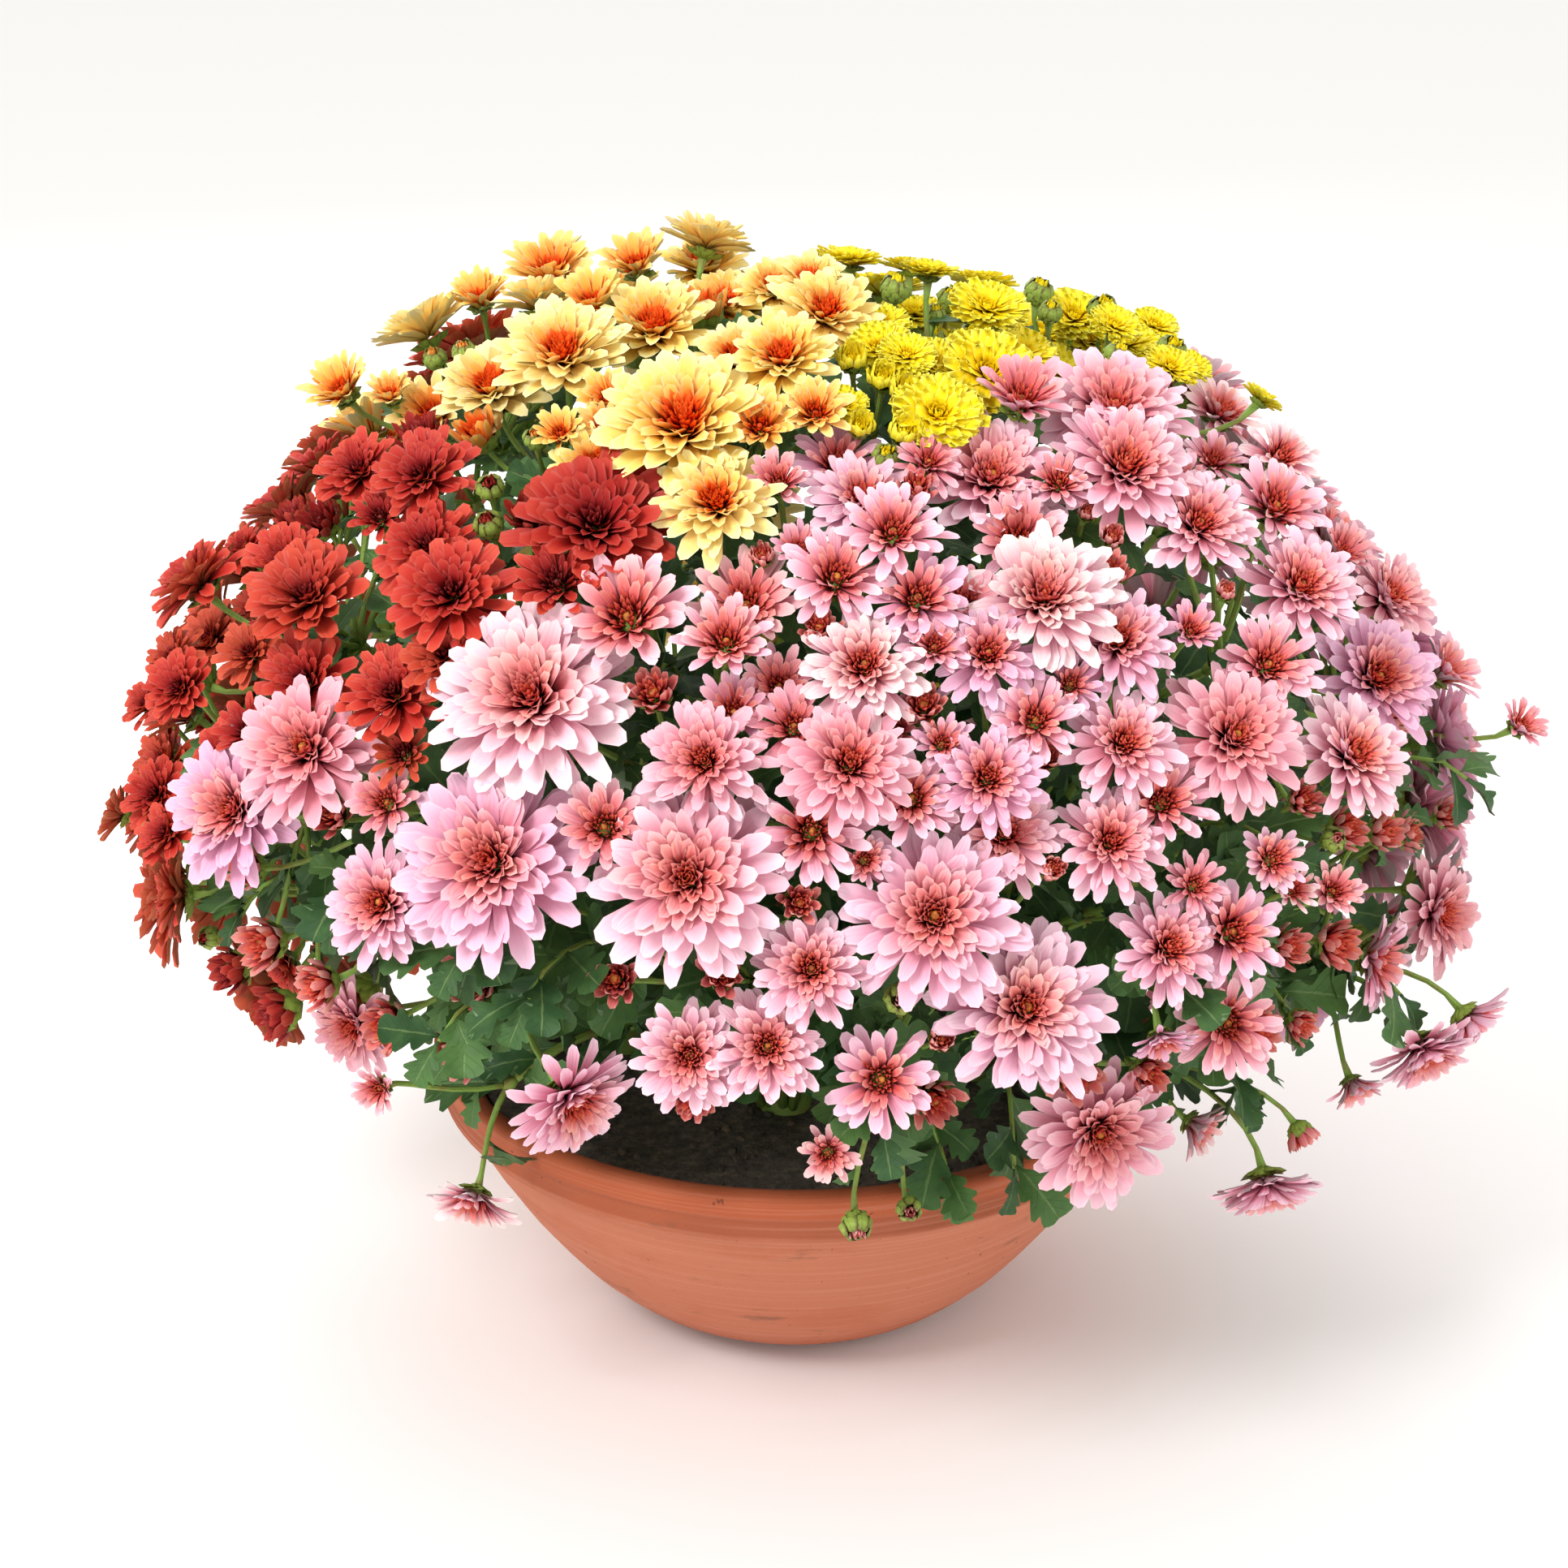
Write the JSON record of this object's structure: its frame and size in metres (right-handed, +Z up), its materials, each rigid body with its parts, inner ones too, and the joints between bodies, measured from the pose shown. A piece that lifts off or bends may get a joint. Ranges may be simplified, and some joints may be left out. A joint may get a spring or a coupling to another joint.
{
  "type": "potted garden chrysanthemum",
  "caption": "Round terracotta bowl filled with soil and planted with a dense mound of double chrysanthemums in apricot, yellow, brick red and pink.",
  "frame": {"origin": "middle of the bowl's flat underside, on the surface that it stands on", "axes": "+Z up, +X to the right and +Y away from the viewer in the picture, which looks along +Y and a little down"},
  "size_m": [0.6563, 0.5158, 0.5206],
  "materials": {
    "terracotta": "unglazed fired clay, matte",
    "soil": "moist potting soil, rough and matte",
    "leaf_green": "soft dark green leaves and stems, matte",
    "apricot_petals": "soft petals, satin",
    "yellow_petals": "soft petals, satin",
    "red_petals": "soft petals, satin",
    "pink_petals": "soft petals, satin"
  },
  "bodies": {
    "root": {"bowl": "terracotta", "soil": "soil", "apricot_spray_01": "apricot_petals", "apricot_spray_02": "apricot_petals", "apricot_spray_03": "apricot_petals", "apricot_spray_04": "apricot_petals", "apricot_spray_05": "apricot_petals", "apricot_spray_06": "apricot_petals", "apricot_spray_07": "apricot_petals", "apricot_spray_08": "apricot_petals", "apricot_spray_09": "apricot_petals", "yellow_spray_01": "yellow_petals", "yellow_spray_02": "yellow_petals", "yellow_spray_03": "yellow_petals", "yellow_spray_04": "yellow_petals", "yellow_spray_05": "yellow_petals", "yellow_spray_06": "yellow_petals", "yellow_spray_07": "yellow_petals", "yellow_spray_08": "yellow_petals", "red_spray_01": "red_petals", "red_spray_02": "red_petals", "red_spray_03": "red_petals", "red_spray_04": "red_petals", "red_spray_05": "red_petals", "red_spray_06": "red_petals", "red_spray_07": "red_petals", "red_spray_08": "red_petals", "red_spray_09": "red_petals", "pink_front_spray_01": "pink_petals", "pink_front_spray_02": "pink_petals", "pink_front_spray_03": "pink_petals", "pink_front_spray_04": "pink_petals", "pink_front_spray_05": "pink_petals", "pink_front_spray_06": "pink_petals", "pink_front_spray_07": "pink_petals", "pink_front_spray_08": "pink_petals", "pink_front_spray_09": "pink_petals", "pink_front_spray_10": "pink_petals", "pink_front_spray_11": "pink_petals", "pink_front_spray_12": "pink_petals", "pink_front_spray_13": "pink_petals", "pink_right_spray_01": "pink_petals", "pink_right_spray_02": "pink_petals", "pink_right_spray_03": "pink_petals", "pink_right_spray_04": "pink_petals", "pink_right_spray_05": "pink_petals", "pink_right_spray_06": "pink_petals", "pink_right_spray_07": "pink_petals", "pink_right_spray_08": "pink_petals", "pink_right_spray_09": "pink_petals", "pink_right_spray_10": "pink_petals", "pink_right_spray_11": "pink_petals", "pink_right_spray_12": "pink_petals", "pink_right_spray_13": "pink_petals", "pink_right_spray_14": "pink_petals", "apricot_stems_leaves": "leaf_green", "yellow_stems_leaves": "leaf_green", "red_stems_leaves": "leaf_green", "pink_front_stems_leaves": "leaf_green", "pink_right_stems_leaves": "leaf_green"}
  },
  "joints": []
}
